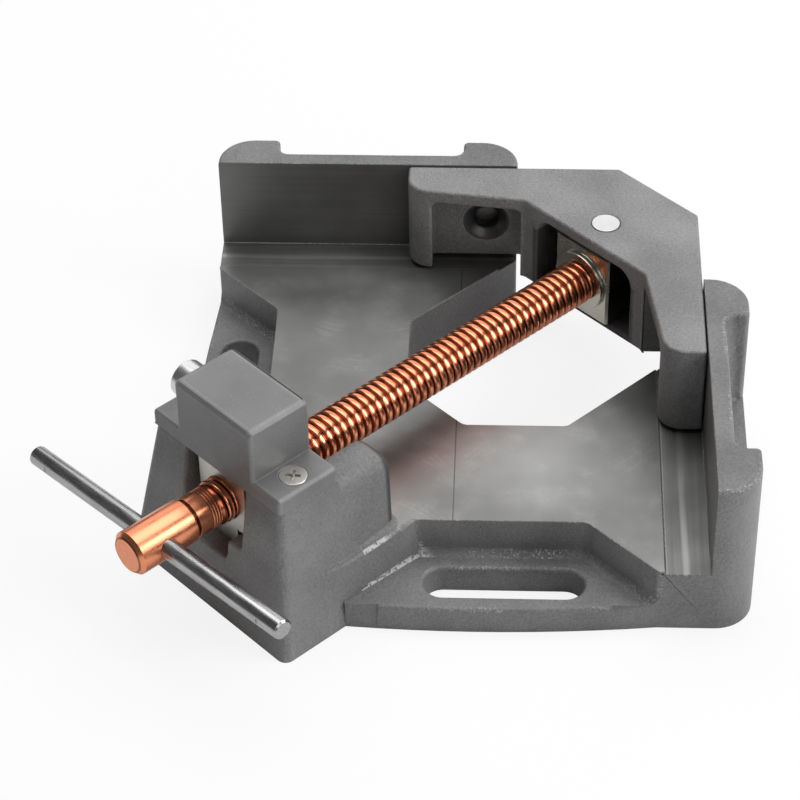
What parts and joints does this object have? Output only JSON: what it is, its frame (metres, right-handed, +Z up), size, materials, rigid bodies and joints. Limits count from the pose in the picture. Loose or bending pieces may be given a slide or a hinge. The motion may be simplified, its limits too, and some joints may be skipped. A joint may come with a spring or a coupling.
{
  "type": "corner clamp",
  "caption": "Cast corner clamp: fences at right angles, a swivelling V-jaw driven along the diagonal by a screw spindle, slotted mounting ears and a capped nut pedestal.",
  "frame": {"origin": "where the planes of the two fence faces meet, at the height of the underside", "axes": "+X and +Y point out through the fences and away from the table, X along the back fence and Y along the side fence; +Z up; the spindle lies on the diagonal x = y, on the negative side"},
  "size_m": [0.2424, 0.2424, 0.082],
  "materials": {
    "painted_casting": "grey paint on sand casting, work faces machined bright",
    "satin_cap": "smooth satin grey",
    "zinc_steel": "zinc plated",
    "bright_steel": "bright turned",
    "copper_plated_steel": "copper plated, bright",
    "nickel_plate": "nickel plated"
  },
  "bodies": {
    "base": {"base_casting": "painted_casting", "nut_cap": "satin_cap", "cap_screws": "zinc_steel", "cheek_screw": "bright_steel"},
    "nut": {"swivel_nut": "zinc_steel"},
    "carriage": {"swivel_block": "nickel_plate", "thrust_washer": "nickel_plate", "thrust_disc": "bright_steel", "keeper_pins": "bright_steel"},
    "screw": {"spindle": "copper_plated_steel"},
    "bar": {"handle_bar": "bright_steel"},
    "jaw": {"v_jaw": "painted_casting", "upper_pivot_pin": "bright_steel", "lower_pivot_pin": "bright_steel"}
  },
  "joints": [
    {"name": "nut_swivel", "type": "hinge", "parent": "base", "child": "nut", "pos_m": [-0.15309, -0.15309, 0], "axis": [0, 0, 1], "range_deg": [0, 6]},
    {"name": "jaw_travel", "type": "slide", "parent": "nut", "child": "carriage", "axis": [-0.7071, -0.7071, 0], "range_m": [0, 0.1144]},
    {"name": "spindle_turn", "type": "hinge", "parent": "carriage", "child": "screw", "pos_m": [-0.04243, -0.04243, 0.04185], "axis": [-0.7071, -0.7071, 0], "range_deg": [0, 12960]},
    {"name": "bar_slide", "type": "slide", "parent": "screw", "child": "bar", "axis": [-0.7051, 0.7051, -0.075], "range_m": [-0.052, 0.052]},
    {"name": "jaw_swivel", "type": "hinge", "parent": "carriage", "child": "jaw", "pos_m": [-0.03338, -0.03338, 0], "axis": [0, 0, 1], "range_deg": [-6, 0]}
  ],
  "couplings": [
    {"joint": "jaw_travel", "follows": "spindle_turn", "m_per_rad": 0.00050532},
    {"joint": "nut_swivel", "follows": "spindle_turn", "ratio": 0.0004629},
    {"joint": "jaw_swivel", "follows": "spindle_turn", "ratio": -0.0004629}
  ]
}
